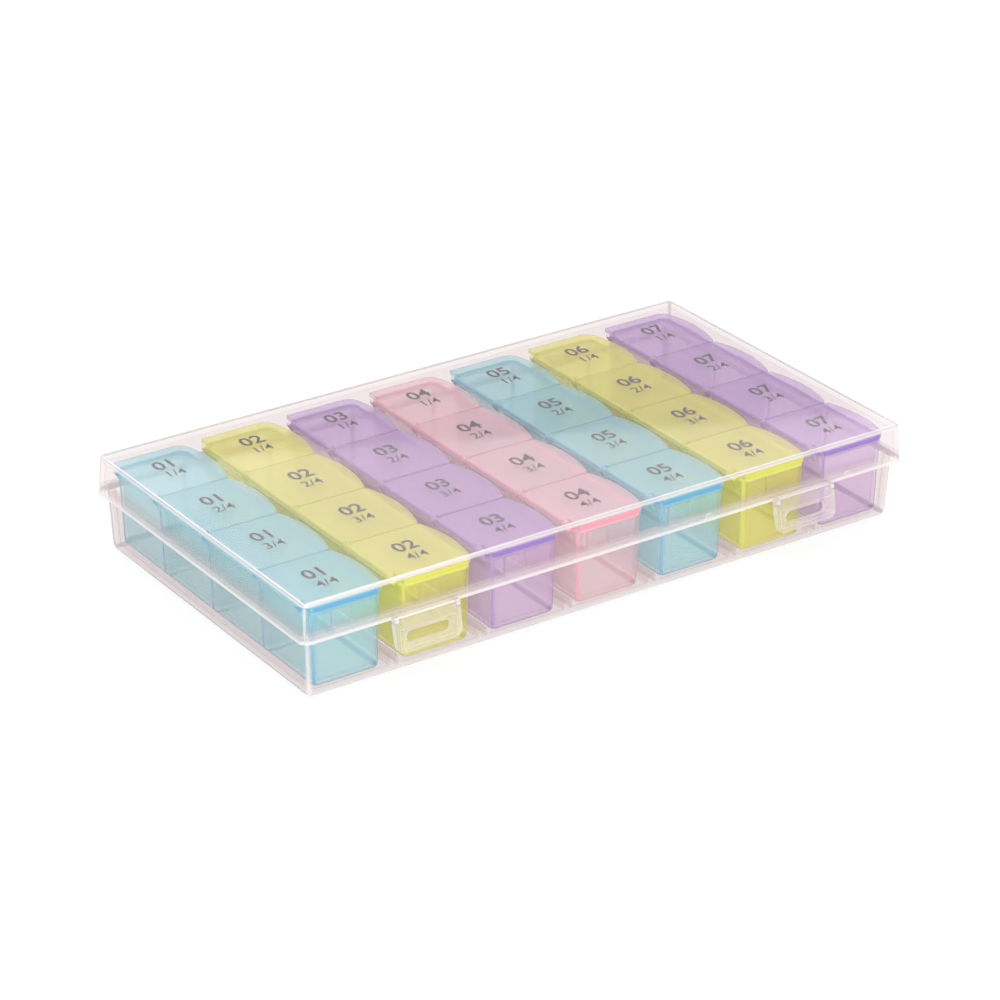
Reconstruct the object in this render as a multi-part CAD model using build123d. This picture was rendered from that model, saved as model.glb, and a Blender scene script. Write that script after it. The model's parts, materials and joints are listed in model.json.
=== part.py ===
from build123d import *
import math
import os

# Weekly pill organizer: a clear hinged case that holds one tray per day, four lidded compartments in each.
# Sizes are in millimetres and angles in degrees. X runs along the days, Y to the case hinge at the back,
# Z up from the table. The origin is the middle of the case's underside, and the case is modelled closed.

# Closed case
case_length = 215.0
case_width = 120.0
case_height = 31.0
parting_height = 18.8

# Case lid
lid_wall = 1.5
lid_top = 1.5
lid_draft = 4.4
lid_corner_radius = 3.0
lid_edge_radius = 0.8
lid_inner_radius = 0.5

# Case base
base_wall = 1.5
base_floor = 1.6
base_draft = 3.3
base_corner_radius = 3.8
base_edge_radius = 2.4
floor_radius = 0.9
nest_gap = 0.25
lip_height = 3.0
rib_width = 3.0
rib_height = 3.0

# Case hinge at the back: the base carries pins between lugs, and the lid's knuckles snap onto them
hinge_end_inset = 42.5
hinge_out = 2.9
hinge_drop = 0.6
knuckle_radius = 2.3
knuckle_length = 10.0
hinge_pin_radius = 1.2
hinge_pin_gap = 0.08
hinge_side_gap = 0.25
snap_mouth = 1.8
lug_length = 3.0
lug_height = 6.2
lug_slant = 45.0

# Latches at the front: each tab turns on its own pins in two ears of the lid, over a nub on the base
latch_end_inset = 39.8
latch_width = 22.0
latch_drop = 9.8
latch_out = 1.2
latch_rise = 0.1
latch_lean = 8.0
latch_top_thickness = 2.1
latch_tip_thickness = 1.4
latch_corner_radius = 2.6
latch_barrel_radius = 0.95
latch_ear_radius = 1.0
latch_ear_length = 1.4
latch_pin_radius = 0.5
latch_pin_gap = 0.06
latch_gap = 0.2
latch_border = 1.5
latch_recess = 0.35
slot_length = 15.0
slot_height = 3.6
slot_drop = 5.6
nub_length = 12.6
nub_height = 2.2
nub_tip_height = 1.2
nub_gap = 0.4

# Day trays
tray_count = 7
tray_gap = 7.8
tray_side_gap = 1.46
tray_end_gap = 0.46
tray_seat_gap = 0.1
tray_draft = 2.0
tray_wall = 1.2
tray_floor = 1.2
tray_corner_radius = 2.3
tray_edge_radius = 2.0
pocket_radius = 0.9
divider = 1.2

# Pill lids
row_count = 4
pill_lid_thickness = 1.6
headroom = 1.1
lid_seat_gap = 0.1
lid_end_overhang = 1.12
row_gap = 0.5
lid_side_gap = 2.1
scallop_rise = 2.6
scallop_corner_radius = 1.6
end_corner_radius = 4.5
soft_edge_radius = 0.45
catch_length = 8.0
catch_drop = 1.6
catch_thickness = 0.9
catch_gap = 0.35

# Pill lid hinges: integral pins on the lids turn in ears on the trays
barrel_radius = 1.0
barrel_out = 1.1
ear_radius = 1.15
ear_length = 1.6
ear_gap = 0.15
ear_notch_gap = 0.25
ear_gusset = 4.0
ear_slant = 45.0
end_ear_inset = 5.3
pill_pin_radius = 0.55
pill_pin_gap = 0.06
pin_end_gap = 0.1


def spread(draft, height):
    """How far a drafted face moves sideways over a height."""
    return math.tan(math.radians(draft)) * height


# Case base, at the parting line, at the foot and inside on the floor
base_length = case_length - 2 * (lid_wall + nest_gap)
base_width = case_width - 2 * (lid_wall + nest_gap)
foot_inset = spread(base_draft, parting_height)
floor_inset = foot_inset - spread(base_draft, base_floor) + base_wall
floor_length = base_length - 2 * floor_inset
floor_width = base_width - 2 * floor_inset

# Axes of the case hinge and of the latches, and the latches' necks between their ears
hinge_spacing = case_length - 2 * hinge_end_inset
latch_spacing = case_length - 2 * latch_end_inset
hinge_y = case_width / 2 + hinge_out
hinge_z = parting_height - hinge_drop
latch_y = -case_width / 2 - latch_out
latch_z = parting_height + latch_rise
latch_neck = latch_ear_radius + latch_gap
latch_neck_width = latch_width - 2 * (latch_ear_length + latch_gap)

# Trays and the rows of pill lids on them
tray_pitch = (floor_length - 2 * tray_side_gap + tray_gap) / tray_count
tray_width = tray_pitch - tray_gap
tray_length = floor_width - 2 * tray_end_gap
pill_lid_top = case_height - lid_top - headroom
rim_z = pill_lid_top - pill_lid_thickness - lid_seat_gap
tray_foot_z = base_floor + tray_seat_gap
tray_height = rim_z - tray_foot_z
rim_half_width = tray_width / 2 + spread(tray_draft, tray_height)
rim_half_length = tray_length / 2 + spread(tray_draft, tray_height)
row_pitch = 2 * (rim_half_length + lid_end_overhang) / row_count
axis_x = -rim_half_width - barrel_out
axis_z = pill_lid_top - barrel_radius
scallop_tip = tray_pitch + axis_x - barrel_radius - lid_side_gap
scallop_cusp = scallop_tip - scallop_rise


def tray_x(day):
    """Middle of a day's tray, counted from 0 at the left."""
    return (day - (tray_count - 1) / 2) * tray_pitch


def row_edge(row):
    """Boundary between rows of lids, counted from 0 at the back."""
    return (row_count / 2 - row) * row_pitch


def ear_y(row):
    """Middle of a tray ear: on a row boundary, or set in from the tray's two ends."""
    if row == 0:
        return row_edge(row) - end_ear_inset
    if row == row_count:
        return row_edge(row) + end_ear_inset
    return row_edge(row)


def drafted_block(length, width, corner, bottom, height, draft):
    """Round-cornered block whose sides lean in by the draft as it rises, or out if it is negative."""
    outline = Pos(0, 0, bottom) * RectangleRounded(length, width, corner)
    return extrude(outline, amount=height, taper=draft)


def bar_along_x(radius, length, y, z):
    return Pos(0, y, z) * Rotation(0, 90, 0) * Cylinder(radius, length)


def bar_along_y(radius, start, end, x, z):
    return Pos(x, (start + end) / 2, z) * Rotation(90, 0, 0) * Cylinder(radius, end - start)


def plate_along_x(points, length):
    """Plate of the given outline in Y and Z, centred on X."""
    return extrude(Plane.YZ * Polygon(*points, align=None), amount=length / 2, both=True)


def plate_along_y(points, length):
    """Plate of the given outline in X and Z, centred on Y."""
    return extrude(Plane.XZ * Polygon(*points, align=None), amount=length / 2, both=True)


def block(low, high):
    """Square block between two corners."""
    size = [b - a for a, b in zip(low, high)]
    return Pos(*low) * Box(*size, align=(Align.MIN, Align.MIN, Align.MIN))


def round_end(radius, angle):
    """How far out and down a point lies on a round end, at an angle below level."""
    return radius * math.cos(math.radians(angle)), radius * math.sin(math.radians(angle))


def latch_face(drop, depth):
    """Point on the latch's outer face, some way below its axis and some depth in."""
    return (-latch_barrel_radius - spread(latch_lean, drop) + depth, -drop)


def latch_thickness(drop):
    """Thickness of the latch some way below its axis, thinning evenly from its neck to its tip."""
    share = (drop - latch_neck) / (latch_drop - latch_neck)
    return latch_top_thickness + share * (latch_tip_thickness - latch_top_thickness)


def hinge_lug():
    """One lug of the base, round about the hinge axis, with a leg to the back wall."""
    root = base_width / 2 - spread(base_draft, lug_height) - base_wall / 2
    out, down = round_end(knuckle_radius, lug_slant)
    leg = [
        (root, hinge_z - lug_height),
        (root, hinge_z),
        (hinge_y, hinge_z),
        (hinge_y + out, hinge_z - down),
    ]
    return plate_along_x(leg, lug_length) + bar_along_x(knuckle_radius, lug_length, hinge_y, hinge_z)


def latch_nub():
    """Nub on the base's front wall that shows in the latch's slot, clear of the latch's back face."""
    mid = latch_z - slot_drop
    root = -(base_width / 2 - spread(base_draft, parting_height - mid) - base_wall / 2)
    tip = latch_y + latch_face(slot_drop, latch_thickness(slot_drop))[0] + nub_gap
    outline = [
        (root, mid - nub_height / 2),
        (root, mid + nub_height / 2),
        (tip, mid + nub_tip_height / 2),
        (tip, mid - nub_tip_height / 2),
    ]
    return plate_along_x(outline, nub_length)


def make_case_base():
    foot = (base_length - 2 * foot_inset, base_width - 2 * foot_inset, base_corner_radius - foot_inset)
    body = drafted_block(*foot, 0, parting_height, -base_draft)
    body = fillet(body.edges().group_by(Axis.Z)[0], base_edge_radius)
    body += drafted_block(base_length, base_width, base_corner_radius, parting_height, lip_height, lid_draft)
    hollow_height = parting_height + lip_height - base_floor
    hollow_corner = base_corner_radius - foot_inset
    hollow = drafted_block(floor_length, floor_width, hollow_corner, base_floor, hollow_height, -base_draft)
    body -= fillet(hollow.edges().group_by(Axis.Z)[0], floor_radius)
    rib_half = floor_width / 2 + base_wall / 2
    for gap in range(tray_count - 1):
        x = (tray_x(gap) + tray_x(gap + 1)) / 2
        low = (x - rib_width / 2, -rib_half, base_floor / 2)
        body += block(low, (x + rib_width / 2, rib_half, base_floor + rib_height))
    lug_x = knuckle_length / 2 + hinge_side_gap + lug_length / 2
    for side in (-1, 1):
        middle = Pos(side * hinge_spacing / 2, 0, 0)
        body += middle * Pos(-lug_x, 0, 0) * hinge_lug()
        body += middle * Pos(lug_x, 0, 0) * hinge_lug()
        body += middle * bar_along_x(hinge_pin_radius, 2 * lug_x, hinge_y, hinge_z)
        body += Pos(side * latch_spacing / 2, 0, 0) * latch_nub()
    return body


def lid_knuckle():
    """Knuckle on the lid's back rim that snaps onto a base pin through a mouth facing outwards."""
    half = knuckle_length / 2
    root = case_width / 2 - lid_wall / 2
    knuckle = bar_along_x(knuckle_radius, knuckle_length, hinge_y, hinge_z)
    knuckle += block((-half, root, parting_height), (half, hinge_y, hinge_z + knuckle_radius))
    knuckle -= bar_along_x(hinge_pin_radius + hinge_pin_gap, knuckle_length, hinge_y, hinge_z)
    mouth_low = (-half, hinge_y, hinge_z - snap_mouth / 2)
    knuckle -= block(mouth_low, (half, hinge_y + knuckle_radius, hinge_z + snap_mouth / 2))
    return knuckle


def latch_ear():
    """Ear on the lid's front rim with a hole for one latch pin."""
    half = latch_ear_length / 2
    root = -case_width / 2 + lid_wall / 2
    ear = bar_along_x(latch_ear_radius, latch_ear_length, latch_y, latch_z)
    ear += block((-half, latch_y, parting_height), (half, root, latch_z + latch_ear_radius))
    ear -= bar_along_x(latch_pin_radius + latch_pin_gap, latch_ear_length, latch_y, latch_z)
    return ear


def make_case_lid():
    outer = drafted_block(
        case_length, case_width, lid_corner_radius, parting_height, case_height - parting_height, lid_draft
    )
    shell = fillet(outer.edges().group_by(Axis.Z)[-1], lid_edge_radius)
    hollow = drafted_block(
        case_length - 2 * lid_wall,
        case_width - 2 * lid_wall,
        lid_corner_radius - lid_wall,
        parting_height,
        case_height - lid_top - parting_height,
        lid_draft,
    )
    shell -= fillet(hollow.edges().group_by(Axis.Z)[-1], lid_inner_radius)
    ear_x = (latch_width - latch_ear_length) / 2
    for side in (-1, 1):
        shell += Pos(side * hinge_spacing / 2, 0, 0) * lid_knuckle()
        latch_middle = Pos(side * latch_spacing / 2, 0, 0)
        shell += latch_middle * Pos(-ear_x, 0, 0) * latch_ear()
        shell += latch_middle * Pos(ear_x, 0, 0) * latch_ear()
    return shell


def make_latch():
    """Latch about its own axis, hanging down and leaning outwards, with its slot and its two pins."""
    neck_face = latch_face(latch_neck, 0)
    neck_back = latch_face(latch_neck, latch_top_thickness)
    tip_face = latch_face(latch_drop, 0)
    tip_back = latch_face(latch_drop, latch_tip_thickness)
    tab = plate_along_x([neck_face, tip_face, tip_back, neck_back], latch_width)
    tab = fillet(tab.edges().filter_by(Axis.Y).group_by(Axis.Z)[0], latch_corner_radius)
    neck_top = [(latch_barrel_radius, 0), (-latch_barrel_radius, 0)]
    tab += plate_along_x(neck_top + [neck_face, neck_back], latch_neck_width)
    tab += bar_along_x(latch_barrel_radius, latch_neck_width, 0, 0)
    recess = [
        latch_face(latch_neck + latch_border, -latch_top_thickness),
        latch_face(latch_drop - latch_border, -latch_top_thickness),
        latch_face(latch_drop - latch_border, latch_recess),
        latch_face(latch_neck + latch_border, latch_recess),
    ]
    tab -= plate_along_x(recess, latch_width - 2 * latch_border)
    slot = Plane.XZ * Pos(0, -slot_drop) * SlotOverall(slot_length, slot_height)
    tab -= extrude(slot, amount=latch_drop, both=True)
    tab += bar_along_x(latch_pin_radius, latch_width, 0, 0)
    return tab


def make_tray():
    outer = drafted_block(tray_width, tray_length, tray_corner_radius, tray_foot_z, tray_height, -tray_draft)
    outer = fillet(outer.edges().group_by(Axis.Z)[0], tray_edge_radius)
    pocket_inset = tray_wall - spread(tray_draft, tray_floor)
    hollow = drafted_block(
        tray_width - 2 * pocket_inset,
        tray_length - 2 * pocket_inset,
        tray_corner_radius - pocket_inset,
        tray_foot_z + tray_floor,
        tray_height - tray_floor,
        -tray_draft,
    )
    tray = outer - fillet(hollow.edges().group_by(Axis.Z)[0], pocket_radius)
    for row in range(1, row_count):
        low = (-rim_half_width, row_edge(row) - divider / 2, tray_foot_z + tray_floor / 2)
        tray += outer & block(low, (rim_half_width, row_edge(row) + divider / 2, rim_z))
    out, down = round_end(ear_radius, ear_slant)
    root = -rim_half_width + tray_wall / 2 + spread(tray_draft, ear_gusset)
    gusset = [
        (axis_x, rim_z),
        (axis_x - out, axis_z - down),
        (root, rim_z - ear_gusset),
        (root, rim_z),
    ]
    for row in range(row_count + 1):
        middle = ear_y(row)
        start = middle - ear_length / 2
        end = middle + ear_length / 2
        ear = Pos(0, middle, 0) * plate_along_y(gusset, ear_length)
        ear += bar_along_y(ear_radius, start, end, axis_x, axis_z)
        tray += ear
        tray -= bar_along_y(pill_pin_radius + pill_pin_gap, start, end, axis_x, axis_z)
    return tray


def make_pill_lid(row):
    """Lid of one row, with the scalloped free edge to the right and the hinge barrel to the left."""
    back = row_edge(row) - row_gap / 2
    front = row_edge(row + 1) + row_gap / 2
    middle = (back + front) / 2
    left = axis_x + ear_radius + ear_notch_gap
    underside = pill_lid_top - pill_lid_thickness
    outline = Polyline((scallop_cusp, back), (left, back), (left, front), (scallop_cusp, front))
    outline += ThreePointArc((scallop_cusp, front), (scallop_tip, middle), (scallop_cusp, back))
    lid = extrude(Pos(0, 0, underside) * make_face(outline), amount=pill_lid_thickness)
    for y, is_end in ((back, row == 0), (front, row == row_count - 1)):
        corner = lid.edges().filter_by(Axis.Z).sort_by_distance((scallop_cusp, y, pill_lid_top))[0]
        lid = fillet(corner, end_corner_radius if is_end else scallop_corner_radius)
    lid = fillet(lid.edges().group_by(Axis.Z)[-1], soft_edge_radius)

    barrel_start = ear_y(row + 1) + ear_length / 2 + ear_gap
    barrel_end = ear_y(row) - ear_length / 2 - ear_gap
    strip_end = left + soft_edge_radius
    lid += block((axis_x, barrel_start, underside), (strip_end, barrel_end, pill_lid_top))
    lid += bar_along_y(barrel_radius, barrel_start, barrel_end, axis_x, axis_z)
    pin_start = ear_y(row + 1) + pin_end_gap
    pin_end = ear_y(row) - pin_end_gap
    lid += bar_along_y(pill_pin_radius, pin_start, pin_end, axis_x, axis_z)

    catch_x = rim_half_width + catch_gap
    catch_low = (catch_x, middle - catch_length / 2, underside - catch_drop)
    catch_high = (catch_x + catch_thickness, middle + catch_length / 2, underside + pill_lid_thickness / 2)
    lid += block(catch_low, catch_high)
    return lid


def save(shape, name):
    export_step(shape, os.path.join("parts", name + ".step"))


os.makedirs("parts", exist_ok=True)
save(make_case_base(), "case_base")
save(make_case_lid(), "case_lid")

latch = make_latch()
save(Pos(-latch_spacing / 2, latch_y, latch_z) * latch, "latch_left")
save(Pos(latch_spacing / 2, latch_y, latch_z) * latch, "latch_right")

tray = make_tray()
row_lids = [make_pill_lid(row) for row in range(row_count)]
for day in range(tray_count):
    place = Pos(tray_x(day), 0, 0)
    save(place * tray, f"day_tray_{day + 1}")
    for row, row_lid in enumerate(row_lids):
        save(place * row_lid, f"pill_lid_{day + 1}_{row + 1}")
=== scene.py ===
import json
import math

import bmesh
import bpy
from mathutils import Matrix, Vector


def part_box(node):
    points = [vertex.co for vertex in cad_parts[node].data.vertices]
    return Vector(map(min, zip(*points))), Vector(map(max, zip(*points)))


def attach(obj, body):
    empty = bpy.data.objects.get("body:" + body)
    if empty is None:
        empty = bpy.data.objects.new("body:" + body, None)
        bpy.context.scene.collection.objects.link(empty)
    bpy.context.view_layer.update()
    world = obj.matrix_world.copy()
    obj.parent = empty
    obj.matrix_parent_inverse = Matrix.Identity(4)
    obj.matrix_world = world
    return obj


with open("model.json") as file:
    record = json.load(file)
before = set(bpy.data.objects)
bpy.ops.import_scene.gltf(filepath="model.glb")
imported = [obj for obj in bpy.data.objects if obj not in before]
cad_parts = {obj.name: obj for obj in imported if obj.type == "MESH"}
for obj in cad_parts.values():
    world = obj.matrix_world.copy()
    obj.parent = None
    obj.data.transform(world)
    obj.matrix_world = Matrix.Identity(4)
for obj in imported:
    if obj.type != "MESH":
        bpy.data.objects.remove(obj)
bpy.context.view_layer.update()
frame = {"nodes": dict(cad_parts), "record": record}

# Weekly pill organizer: a clear hinged case over seven coloured day trays, each with four flip lids.
# Metres and the frame's axes: X along the days, Y to the hinge at the back, Z up.

MM = 0.001
nodes = frame["nodes"]
slots = {part["node"]: part["material_slot"] for part in frame["record"]["subparts"]}
days = range(1, 8)
rows = range(1, 5)

# Clear case: its upper shell laps over its lower one, and both have leaning sides
case_width = 120.0 * MM
parting_z = 18.8 * MM
lid_lean = math.tan(math.radians(4.4))
base_lean = math.tan(math.radians(3.3))
lid_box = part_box("case_lid")
base_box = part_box("case_base")
lap_step = lid_box[1].x - base_box[1].x
skirt_rim_z = parting_z + 2.8 * MM
floor_z = 1.6 * MM
rib_top_z = 4.6 * MM
rib_half = 1.5 * MM

# Coloured trays, all alike, in steps along X
tray_lean = math.tan(math.radians(2.0))
tray_rim_z = 26.7 * MM
tray_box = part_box("day_tray_4")
tray_pitch = (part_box("day_tray_7")[1].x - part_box("day_tray_1")[1].x) / (len(days) - 1)
plate_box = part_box("pill_lid_4_4")
row_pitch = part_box("pill_lid_4_1")[0].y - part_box("pill_lid_4_2")[0].y

# How far the lines painted along the edges of each shell reach from the edge: painted highlight on the
# clear case, painted shade over a deeper tint on the trays and pill lids
lid_line = 2.1 * MM
lid_foot_line = 2.6 * MM
base_line = 3.0 * MM
base_foot_line = 2.2 * MM
tray_line = 2.6 * MM
plate_line = 0.7 * MM

# Print: height and stroke of the figures, and where its two lines lie from the middle of a pill lid
day_height = 5.4 * MM
day_weight = 0.14 * MM
day_line_y = 3.6 * MM
dose_height = 3.8 * MM
dose_weight = 0.03 * MM
dose_line_y = -3.0 * MM
ink_depth = 0.012 * MM
ink_lift = 0.02 * MM

# Gate marks on the front of the case lid's skirt, by their places along the case
gate_mark_x = {"gate_mark_left": 33.0 * MM, "gate_mark_right": 85.5 * MM}
gate_mark_rise = 1.3 * MM


# Node helpers

def new_material(name):
    """Empty node material, its tree and its output."""
    material = bpy.data.materials.new(name)
    material.use_nodes = True
    tree = material.node_tree
    tree.nodes.clear()
    return material, tree, tree.nodes.new("ShaderNodeOutputMaterial")


def new_group(name, inputs, outputs):
    """Empty shader node group with named sockets, its given values and its output node."""
    group = bpy.data.node_groups.new(name, "ShaderNodeTree")
    for socket, kind in inputs.items():
        group.interface.new_socket(socket, in_out="INPUT", socket_type="NodeSocket" + kind)
    for socket, kind in outputs.items():
        group.interface.new_socket(socket, in_out="OUTPUT", socket_type="NodeSocket" + kind)
    return group, group.nodes.new("NodeGroupInput").outputs, group.nodes.new("NodeGroupOutput")


def put(tree, node, socket, value):
    """Sets a socket to a plain value, or links another socket to it."""
    if isinstance(value, bpy.types.NodeSocket):
        tree.links.new(value, node.inputs[socket])
    else:
        node.inputs[socket].default_value = value


def add(tree, kind, values=None, **settings):
    """New node with its settings, and values for its sockets by name or number."""
    node = tree.nodes.new(kind)
    for key, value in settings.items():
        setattr(node, key, value)
    for socket, value in (values or {}).items():
        put(tree, node, socket, value)
    return node


def place_group(tree, group, values):
    """Puts a node group into a tree with its own values."""
    return add(tree, "ShaderNodeGroup", values, node_tree=group).outputs


def maths(tree, operation, *values, clamp=False):
    node = add(tree, "ShaderNodeMath", dict(enumerate(values)), operation=operation, use_clamp=clamp)
    return node.outputs[0]


def ramp(tree, value, start, end, low=0.0, high=1.0):
    """Smooth step of a value from start to end, running from low to high."""
    values = {"Value": value, "From Min": start, "From Max": end, "To Min": low, "To Max": high}
    return add(tree, "ShaderNodeMapRange", values, interpolation_type="SMOOTHSTEP").outputs["Result"]


def blend_colour(tree, share, first, second):
    node = add(tree, "ShaderNodeMix", {0: share, 6: first, 7: second}, data_type="RGBA")
    return node.outputs[2]


def parts_of(tree, vector):
    return add(tree, "ShaderNodeSeparateXYZ", {0: vector}).outputs


# Effects that several finishes share

def make_shell_edges():
    """Mask of the edges of a box with leaning sides, where two of its faces come together: where the
    painted edge lines go.
    """
    inputs = {"Place": "Vector", "Half X": "Float", "Half Y": "Float", "Lean": "Float"}
    inputs.update({"Low": "Float", "High": "Float", "Band": "Float", "Low Band": "Float"})
    group, given, out = new_group("shell_edges", inputs, {"Edge": "Float"})
    place = parts_of(group, given["Place"])
    rise = maths(group, "SUBTRACT", place["Z"], given["Low"])

    def near(distance, band):
        return ramp(group, distance, 0.0, given[band], 1.0, 0.0)

    def near_side(half, axis):
        side = maths(group, "MULTIPLY_ADD", rise, given["Lean"], given[half])
        return near(maths(group, "SUBTRACT", side, maths(group, "ABSOLUTE", place[axis])), "Band")

    near_x = near_side("Half X", "X")
    near_y = near_side("Half Y", "Y")
    near_top = near(maths(group, "SUBTRACT", given["High"], place["Z"]), "Band")
    near_end = maths(group, "MAXIMUM", near(rise, "Low Band"), near_top)
    upright = maths(group, "MINIMUM", near_x, near_y)
    level = maths(group, "MINIMUM", maths(group, "MAXIMUM", near_x, near_y), near_end)
    put(group, out, "Edge", maths(group, "MAXIMUM", upright, level))
    return group


def make_tray_edges():
    """Mask of a tray's outer edges and of the lines where its dividers meet its walls and floor, where
    painted shade goes over the deeper tint.
    """
    group, given, out = new_group("tray_edges", {"Place": "Vector", "Band": "Float"}, {"Edge": "Float"})
    place = parts_of(group, given["Place"])
    across = maths(group, "WRAP", place["X"], -tray_pitch / 2, tray_pitch / 2)
    own_place = add(group, "ShaderNodeCombineXYZ", {0: across, 1: place["Y"], 2: place["Z"]}).outputs[0]
    spread = tray_lean * (tray_rim_z - tray_box[0].z)
    shell = place_group(group, shell_edges, {
        "Place": own_place, "Half X": tray_box[1].x - spread, "Half Y": tray_box[1].y - spread,
        "Lean": tray_lean, "Low": tray_box[0].z, "High": tray_rim_z,
        "Band": given["Band"], "Low Band": given["Band"],
    })["Edge"]
    along = maths(group, "WRAP", place["Y"], -row_pitch / 2, row_pitch / 2)
    divider = ramp(group, maths(group, "ABSOLUTE", along), 0.35 * MM, 0.8 * MM, 0.8, 0.0)
    below_rim = ramp(group, place["Z"], tray_rim_z - 2.0 * MM, tray_rim_z - 1.0 * MM, 1.0, 0.0)
    edge = maths(group, "MAXIMUM", shell, maths(group, "MULTIPLY", divider, below_rim))
    off_ears = ramp(group, place["Z"], tray_rim_z + 0.1 * MM, tray_rim_z + 0.5 * MM, 1.0, 0.0)
    put(group, out, "Edge", maths(group, "MULTIPLY", edge, off_ears))
    return group


def make_plate_rim():
    """Mask of a flat plate's upright sides: a line below its top, or the whole side at the tray's front,
    where painted shade goes over the deeper tint.
    """
    inputs = {"Place": "Vector", "Facing": "Vector", "Top": "Float", "Line": "Float", "Front": "Float"}
    group, given, out = new_group("plate_rim", inputs, {"Edge": "Float"})
    place = parts_of(group, given["Place"])
    up = maths(group, "ABSOLUTE", parts_of(group, given["Facing"])["Z"])
    side = ramp(group, up, 0.35, 0.9, 1.0, 0.0)
    drop = maths(group, "SUBTRACT", given["Top"], place["Z"])
    line = ramp(group, maths(group, "DIVIDE", drop, given["Line"]), 0.5, 1.0, 0.5, 0.06)
    front = ramp(group, maths(group, "SUBTRACT", place["Y"], given["Front"]), 0.0, 1.0 * MM, 1.0, 0.0)
    put(group, out, "Edge", maths(group, "MULTIPLY", side, maths(group, "MAXIMUM", line, front)))
    return group


def make_moulded_skin():
    """Slight unevenness of moulded plastic: patches of roughness, long ripples and handling marks."""
    inputs = {"Place": "Vector", "Smooth": "Float", "Rough": "Float"}
    outputs = {"Roughness": "Float", "Height": "Float", "Marks": "Float"}
    group, given, out = new_group("moulded_skin", inputs, outputs)
    patches = add(group, "ShaderNodeTexNoise", {"Vector": given["Place"], "Scale": 55.0, "Detail": 3.0})
    share = ramp(group, patches.outputs[0], 0.3, 0.7)
    spread = maths(group, "SUBTRACT", given["Rough"], given["Smooth"])
    put(group, out, "Roughness", maths(group, "MULTIPLY_ADD", share, spread, given["Smooth"]))
    ripples = add(group, "ShaderNodeTexNoise", {"Vector": given["Place"], "Scale": 26.0, "Detail": 1.0})
    put(group, out, "Height", ripples.outputs[0])
    stretch = add(group, "ShaderNodeMapping", {"Vector": given["Place"], "Scale": (900.0, 60.0, 300.0)})
    scuffs = add(group, "ShaderNodeTexNoise", {"Vector": stretch.outputs[0], "Scale": 1.0, "Detail": 2.0})
    put(group, out, "Marks", ramp(group, scuffs.outputs[0], 0.62, 0.8))
    return group


shell_edges = make_shell_edges()
tray_edges = make_tray_edges()
plate_rim = make_plate_rim()
moulded_skin = make_moulded_skin()


# Where each kind of piece gets its painted edge lines: painted highlight on the clear case and latches,
# painted shade over a deeper tint on the trays and pill lids

def lid_shell_mask(tree, surface):
    """Painted highlight bands on the edges of the upper shell, and a weaker painted band along the foot of
    its skirt.
    """
    edge = place_group(tree, shell_edges, {
        "Place": surface["Object"], "Half X": lid_box[1].x, "Half Y": case_width / 2, "Lean": -lid_lean,
        "Low": parting_z, "High": lid_box[1].z, "Band": lid_line, "Low Band": lid_foot_line,
    })["Edge"]
    height = parts_of(tree, surface["Object"])["Z"]
    rim = ramp(tree, height, skirt_rim_z - 0.3 * MM, skirt_rim_z, 0.48, 0.0)
    return maths(tree, "MAXIMUM", edge, rim)


def base_shell_mask(tree, surface):
    """Painted highlight lines on the foot, corners and floor ribs of the lower shell, whose upper rim stays
    clear inside the lid.
    """
    spread = base_lean * parting_z
    above_rim = 2 * base_box[1].z
    edge = place_group(tree, shell_edges, {
        "Place": surface["Object"],
        "Half X": base_box[1].x - spread, "Half Y": case_width / 2 - lap_step - spread,
        "Lean": base_lean, "Low": 0.0, "High": above_rim, "Band": base_line, "Low Band": base_foot_line,
    })["Edge"]
    place = parts_of(tree, surface["Object"])
    across = maths(tree, "SUBTRACT", maths(tree, "WRAP", place["X"], tray_pitch, 0.0), tray_pitch / 2)
    beside = maths(tree, "SUBTRACT", maths(tree, "ABSOLUTE", across), rib_half)
    rib = ramp(tree, maths(tree, "ABSOLUTE", beside), 0.15 * MM, 0.4 * MM, 0.55, 0.0)
    above_floor = ramp(tree, place["Z"], floor_z + 0.1 * MM, floor_z + 0.2 * MM)
    below_top = ramp(tree, place["Z"], rib_top_z + 0.1 * MM, rib_top_z + 0.3 * MM, 1.0, 0.0)
    rib = maths(tree, "MULTIPLY", rib, maths(tree, "MULTIPLY", above_floor, below_top))
    return maths(tree, "MAXIMUM", edge, rib)


def latch_mask(tree, surface):
    """Painted highlight on the sides of the tab and of its slot, which face along the front or up and down.
    """
    out = maths(tree, "ABSOLUTE", parts_of(tree, surface["Normal"])["Y"])
    return ramp(tree, out, 0.5, 0.95, 1.0, 0.0)


def tray_mask(tree, surface):
    return place_group(tree, tray_edges, {"Place": surface["Object"], "Band": tray_line})["Edge"]


def pill_lid_mask(tree, surface):
    return place_group(tree, plate_rim, {
        "Place": surface["Object"], "Facing": surface["Normal"],
        "Top": plate_box[1].z, "Line": plate_line, "Front": plate_box[0].y,
    })["Edge"]


# Finishes

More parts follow.
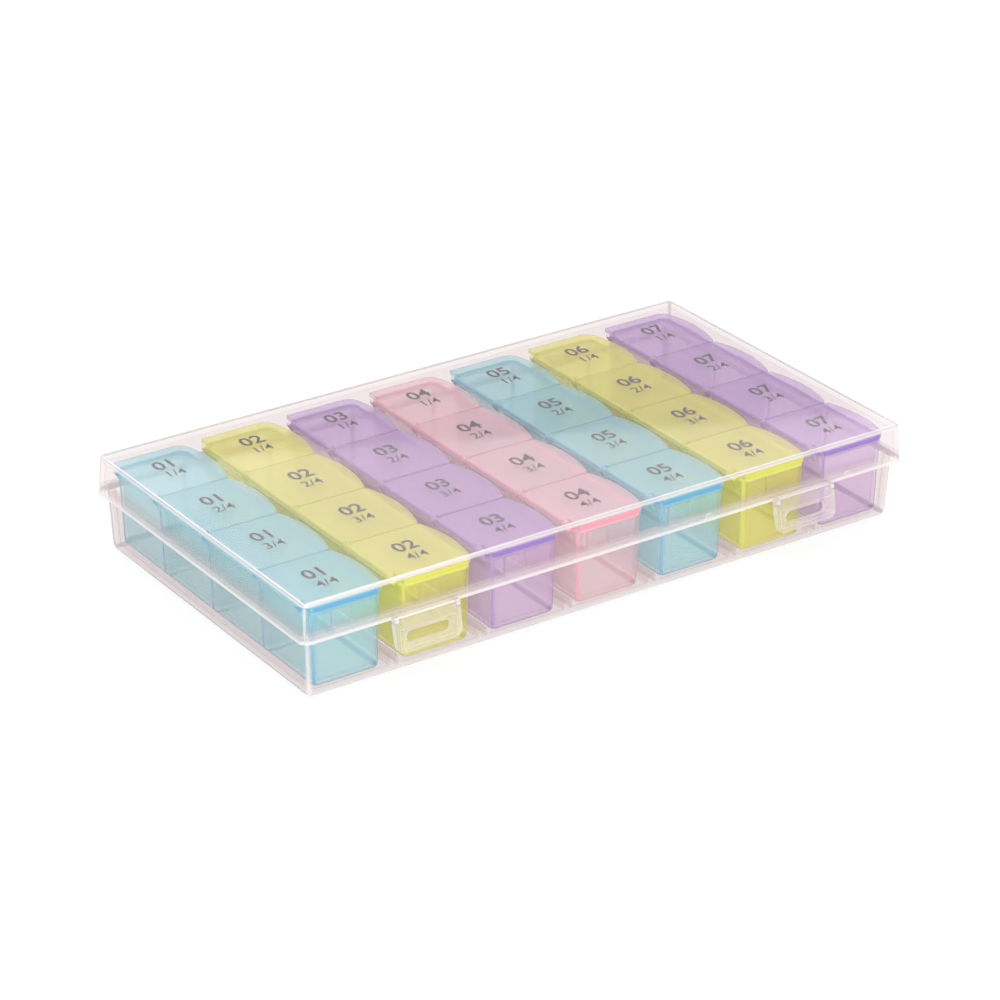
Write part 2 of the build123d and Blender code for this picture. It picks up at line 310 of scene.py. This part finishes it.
def see_through(name, painted_edge_mask, face, edge, haze, solid, dye, density, mirror, smooth, rough):
    """Thin clear plastic: a glossy hazy skin over a clear body that takes up colour along the light's way.

    face is the skin's colour; edge is the colour painted along the edges, a painted highlight on clear
    parts and painted shade over the deeper tint of a wall seen edge-on on coloured ones.
    haze and solid are the shares of the skin that show on faces and at the painted edges.
    The skin covers a small share of the surface, so its mirror index may be above that of a whole surface.
    smooth and rough are the ends of its roughness.
    """
    material, tree, output = new_material(name)
    surface = add(tree, "ShaderNodeTexCoord").outputs
    mask = painted_edge_mask(tree, surface)
    skin = place_group(tree, moulded_skin, {"Place": surface["Object"], "Smooth": smooth, "Rough": rough})
    bump = add(tree, "ShaderNodeBump", {"Strength": 1.0, "Distance": 0.02 * MM, "Height": skin["Height"]})
    plastic = add(tree, "ShaderNodeBsdfPrincipled", {"IOR": mirror, "Roughness": skin["Roughness"]})
    put(tree, plastic, "Normal", bump.outputs[0])
    # Along the mask the edge colour and a larger share of skin paint the edge highlight or shade
    put(tree, plastic, "Base Color", blend_colour(tree, mask, (*face, 1), (*edge, 1)))
    slant = add(tree, "ShaderNodeLayerWeight", {"Blend": 0.5}).outputs["Facing"]
    gloss = maths(tree, "MULTIPLY", maths(tree, "POWER", slant, 5.0), 0.9)
    shown = maths(tree, "ADD", ramp(tree, mask, 0.25, 0.85, haze, solid), gloss)
    put(tree, plastic, "Alpha", maths(tree, "MULTIPLY_ADD", skin["Marks"], 0.03, shown, clamp=True))
    put(tree, output, "Surface", plastic.outputs[0])
    body = add(tree, "ShaderNodeVolumeAbsorption", {"Color": (*dye, 1), "Density": density})
    put(tree, output, "Volume", body.outputs[0])
    return material


def make_ink():
    """Grey print with a fine grain."""
    material, tree, output = new_material("grey_ink")
    place = add(tree, "ShaderNodeTexCoord").outputs["Object"]
    grain = add(tree, "ShaderNodeTexNoise", {"Vector": place, "Scale": 2500.0, "Detail": 2.0}).outputs[0]
    print_skin = add(tree, "ShaderNodeBsdfPrincipled", {"IOR": 1.45})
    dark = (0.045, 0.045, 0.06, 1)
    worn = (0.10, 0.10, 0.12, 1)
    put(tree, print_skin, "Base Color", blend_colour(tree, ramp(tree, grain, 0.3, 0.75), dark, worn))
    put(tree, print_skin, "Roughness", ramp(tree, grain, 0.3, 0.7, 0.45, 0.65))
    put(tree, output, "Surface", print_skin.outputs[0])
    return material


def dress(node, finish):
    nodes[node].data.materials.clear()
    nodes[node].data.materials.append(finish)


# Pale edge colours with a high edge share paint highlight bands along the clear parts' edges and the
# latches' sides
lid_finish = see_through(
    "clear_lid", lid_shell_mask, face=(0.88, 0.78, 0.79), edge=(0.88, 0.82, 0.82), haze=0.05, solid=0.7,
    dye=(0.80, 0.45, 0.45), density=38.0, mirror=3.5, smooth=0.02, rough=0.05,
)
base_finish = see_through(
    "clear_base", base_shell_mask, face=(0.86, 0.74, 0.75), edge=(0.86, 0.76, 0.77), haze=0.06, solid=0.7,
    dye=(0.66, 0.45, 0.45), density=80.0, mirror=3.0, smooth=0.03, rough=0.07,
)
latch_finish = see_through(
    "clear_latch", latch_mask, face=(0.92, 0.88, 0.87), edge=(0.95, 0.92, 0.92), haze=0.17, solid=0.62,
    dye=(0.80, 0.45, 0.45), density=38.0, mirror=3.0, smooth=0.04, rough=0.09,
)
dress("case_lid", lid_finish)
dress("case_base", base_finish)
dress("latch_left", latch_finish)
dress("latch_right", latch_finish)

# Skin colours of tray walls and pill lids, the colour painted along their edges (painted shade over the
# deeper tint of a wall seen edge-on), then the dye in the body and how strong it is
dyes = {
    "tray_blue": ((0.54, 0.97, 1.00), (0.50, 0.87, 0.94), (0.05, 0.42, 0.74), (0.00, 0.87, 0.97), 55.0),
    "tray_yellow": ((0.98, 0.98, 0.18), (0.97, 0.97, 0.38), (0.78, 0.84, 0.06), (0.98, 1.00, 0.00), 180.0),
    "tray_purple": ((0.92, 0.74, 0.98), (0.70, 0.54, 0.90), (0.28, 0.16, 0.60), (0.52, 0.00, 0.85), 50.0),
    "tray_pink": ((1.00, 0.88, 0.91), (1.00, 0.77, 0.86), (0.97, 0.36, 0.45), (1.00, 0.00, 0.32), 33.0),
}
tray_finishes = {}
plate_finishes = {}
for slot, (wall, plate, edge, dye, density) in dyes.items():
    colour = slot.replace("tray_", "")
    tray_finishes[slot] = see_through(
        colour + "_tray", tray_mask, face=wall, edge=edge, haze=0.22, solid=0.85,
        dye=dye, density=density, mirror=1.5, smooth=0.06, rough=0.14,
    )
    plate_finishes[slot] = see_through(
        colour + "_pill_lid", pill_lid_mask, face=plate, edge=edge, haze=0.32, solid=0.7,
        dye=dye, density=density, mirror=1.5, smooth=0.06, rough=0.14,
    )
for day in days:
    tray = f"day_tray_{day}"
    dress(tray, tray_finishes[slots[tray]])
    for row in rows:
        dress(f"pill_lid_{day}_{row}", plate_finishes[slots[tray]])


# Pieces of the scene's own

def new_piece(name, shape, finish):
    """Turns a bmesh into an object with one finish."""
    mesh = bpy.data.meshes.new(name)
    shape.to_mesh(mesh)
    shape.free()
    mesh.materials.append(finish)
    piece = bpy.data.objects.new(name, mesh)
    bpy.context.scene.collection.objects.link(piece)
    return piece


def figure_mesh(text, height, weight):
    """Flat closed mesh of some figures, centred, with digits of the given height."""
    digit_share = 0.7
    curve = bpy.data.curves.new("figures", "FONT")
    curve.body = text
    curve.align_x = "CENTER"
    curve.align_y = "CENTER"
    curve.size = height / digit_share
    curve.offset = weight
    curve.extrude = ink_depth
    curve.resolution_u = 5
    carrier = bpy.data.objects.new("figures", curve)
    bpy.context.scene.collection.objects.link(carrier)
    bpy.context.view_layer.update()
    shape = carrier.evaluated_get(bpy.context.evaluated_depsgraph_get())
    mesh = bpy.data.meshes.new_from_object(shape)
    bpy.data.objects.remove(carrier)
    return mesh


def add_print(day, row):
    """Two lines of figures on a pill lid, for the day and the dose."""
    node = f"pill_lid_{day}_{row}"
    low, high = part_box(node)
    hinge_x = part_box(f"day_tray_{day}")[0].x
    middle = Vector(((hinge_x + high.x) / 2, (low.y + high.y) / 2, high.z + ink_lift))
    label = bmesh.new()
    for figures, line_y in ((day_figures[day], day_line_y), (dose_figures[row], dose_line_y)):
        line = figures.copy()
        line.transform(Matrix.Translation(middle + Vector((0, line_y, 0))))
        label.from_mesh(line)
        bpy.data.meshes.remove(line)
    piece = new_piece(f"print_{day}_{row}", label, ink)
    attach(piece, node)


def add_gate_mark(name, x):
    """Flat button with a dimple that a mould's gate leaves, in rings about the direction to the front.

    Each ring has its radius and how far it stands out from the skirt, in millimetres.
    """
    hub_out = 0.10
    rings = [(0.45, 0.14), (0.75, 0.34), (1.05, 0.34), (1.25, 0.18), (1.25, -0.2)]
    steps = 32
    skirt_y = -case_width / 2 + lid_lean * gate_mark_rise
    centre = Vector((x, skirt_y, parting_z + gate_mark_rise))
    mark = bmesh.new()

    def point(radius, out, step):
        angle = math.tau * step / steps
        offset = Vector((radius * math.cos(angle), -out, radius * math.sin(angle)))
        return mark.verts.new(centre + offset * MM)

    hub = point(0.0, hub_out, 0)
    circles = [[point(radius, out, step) for step in range(steps)] for radius, out in rings]
    back = point(0.0, rings[-1][1], 0)
    for step in range(steps):
        after = (step + 1) % steps
        mark.faces.new((hub, circles[0][step], circles[0][after]))
        for inner, outer in zip(circles, circles[1:]):
            mark.faces.new((inner[step], outer[step], outer[after], inner[after]))
        mark.faces.new((circles[-1][step], back, circles[-1][after]))
    piece = new_piece(name, mark, latch_finish)
    piece.data.shade_smooth()
    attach(piece, "case_lid")


ink = make_ink()
day_figures = {day: figure_mesh(f"0{day}", day_height, day_weight) for day in days}
dose_figures = {row: figure_mesh(f"{row}/4", dose_height, dose_weight) for row in rows}
for day in days:
    for row in rows:
        add_print(day, row)
for name, x in gate_mark_x.items():
    add_gate_mark(name, x)


# Floor, light and camera

def in_view(tree):
    """1 for what the camera sees directly, mirrored or through glass, and 0 for light on the object."""
    seen = add(tree, "ShaderNodeLightPath").outputs
    mirrored = maths(tree, "MAXIMUM", seen["Is Camera Ray"], seen["Is Glossy Ray"])
    return maths(tree, "MAXIMUM", mirrored, seen["Is Transmission Ray"])


def make_floor():
    """Wide white floor that shows the shadow faintly and sends plain light back up."""
    half = 6.0
    drop = 0.3 * MM
    mesh = bpy.data.meshes.new("floor")
    corners = [(-half, -half), (half, -half), (half, half), (-half, half)]
    mesh.from_pydata([(x, y, -drop) for x, y in corners], [], [(0, 1, 2, 3)])
    floor = bpy.data.objects.new("floor", mesh)
    bpy.context.scene.collection.objects.link(floor)
    material, tree, output = new_material("white_floor")
    card = add(tree, "ShaderNodeBsdfDiffuse", {"Color": (0.15, 0.15, 0.15, 1)})
    glow = add(tree, "ShaderNodeEmission", {"Strength": 0.87})
    lit = add(tree, "ShaderNodeAddShader", {0: card.outputs[0], 1: glow.outputs[0]})
    plain = add(tree, "ShaderNodeBsdfDiffuse", {"Color": (0.8, 0.8, 0.8, 1)})
    mix = add(tree, "ShaderNodeMixShader", {0: in_view(tree), 1: plain.outputs[0], 2: lit.outputs[0]})
    put(tree, output, "Surface", mix.outputs[0])
    mesh.materials.append(material)


def make_world():
    """White all round the horizon, as behind the floor, under a dimmer ceiling."""
    world = bpy.data.worlds.new("studio")
    bpy.context.scene.world = world
    world.use_nodes = True
    tree = world.node_tree
    tree.nodes.clear()
    output = tree.nodes.new("ShaderNodeOutputWorld")
    height = parts_of(tree, add(tree, "ShaderNodeTexCoord").outputs["Generated"])["Z"]
    wall_top = math.sin(math.radians(11.0))
    ceiling_edge = math.sin(math.radians(16.0))
    level = ramp(tree, height, wall_top, ceiling_edge, 1.0, 0.25)
    room = add(tree, "ShaderNodeBackground", {"Color": (1, 1, 1, 1), "Strength": level})
    put(tree, output, "Surface", room.outputs[0])


def make_panel(name, place, aim, width, height, radiance):
    """Soft rectangular lamp that faces a point and has the given brightness all over."""
    lamp = bpy.data.lights.new(name, "AREA")
    lamp.shape = "RECTANGLE"
    lamp.size = width
    lamp.size_y = height
    lamp.energy = radiance * math.pi * width * height
    panel = bpy.data.objects.new(name, lamp)
    panel.location = place
    panel.rotation_euler = (Vector(place) - Vector(aim)).to_track_quat("Z", "Y").to_euler()
    bpy.context.scene.collection.objects.link(panel)


def make_lights():
    """Bank behind the case, whose reflection pales part of the lid, and soft banks in front and above."""
    heading = math.radians(25.6)
    away = Vector((math.sin(heading), math.cos(heading), 0))
    distance = 1.5
    shift = Vector((0.23, -0.11, 0))
    width = 1.8
    height = 1.4
    reflected_rise = math.tan(math.radians(25.0))
    reflected_reach = 1.516
    foot = lid_box[1].z + reflected_reach * reflected_rise
    middle = away * distance + shift + Vector((0, 0, foot + height / 2))
    make_panel("back_bank", middle, middle - away, width, height, 1.65)
    make_panel("front_bank", (-0.85, -1.4, 0.62), (0, 0, 0), 1.6, 1.2, 3.85)
    make_panel("top_bank", (0, 0, 1.8), (0, 0, 0), 2.0, 2.0, 1.7)


def make_camera():
    """Camera at the photograph's angle, fitted to the case's outline."""
    azimuth = math.radians(-34.1455)
    elevation = math.radians(26.0002)
    distance = 1107.537 * MM
    target = Vector((-6.1485, -7.5184, 15.3571)) * MM
    back = Vector((
        math.sin(azimuth) * math.cos(elevation),
        -math.cos(azimuth) * math.cos(elevation),
        math.sin(elevation),
    ))
    lens = bpy.data.cameras.new("camera")
    lens.sensor_width = 36
    lens.lens = 132.152
    camera = bpy.data.objects.new("camera", lens)
    camera.location = target + back * distance
    camera.rotation_euler = back.to_track_quat("Z", "Y").to_euler()
    bpy.context.scene.collection.objects.link(camera)
    bpy.context.scene.camera = camera


make_floor()
make_world()
make_lights()
make_camera()
scene = bpy.context.scene
scene.view_settings.view_transform = "Standard"
scene.cycles.max_bounces = 10
scene.cycles.transparent_max_bounces = 64
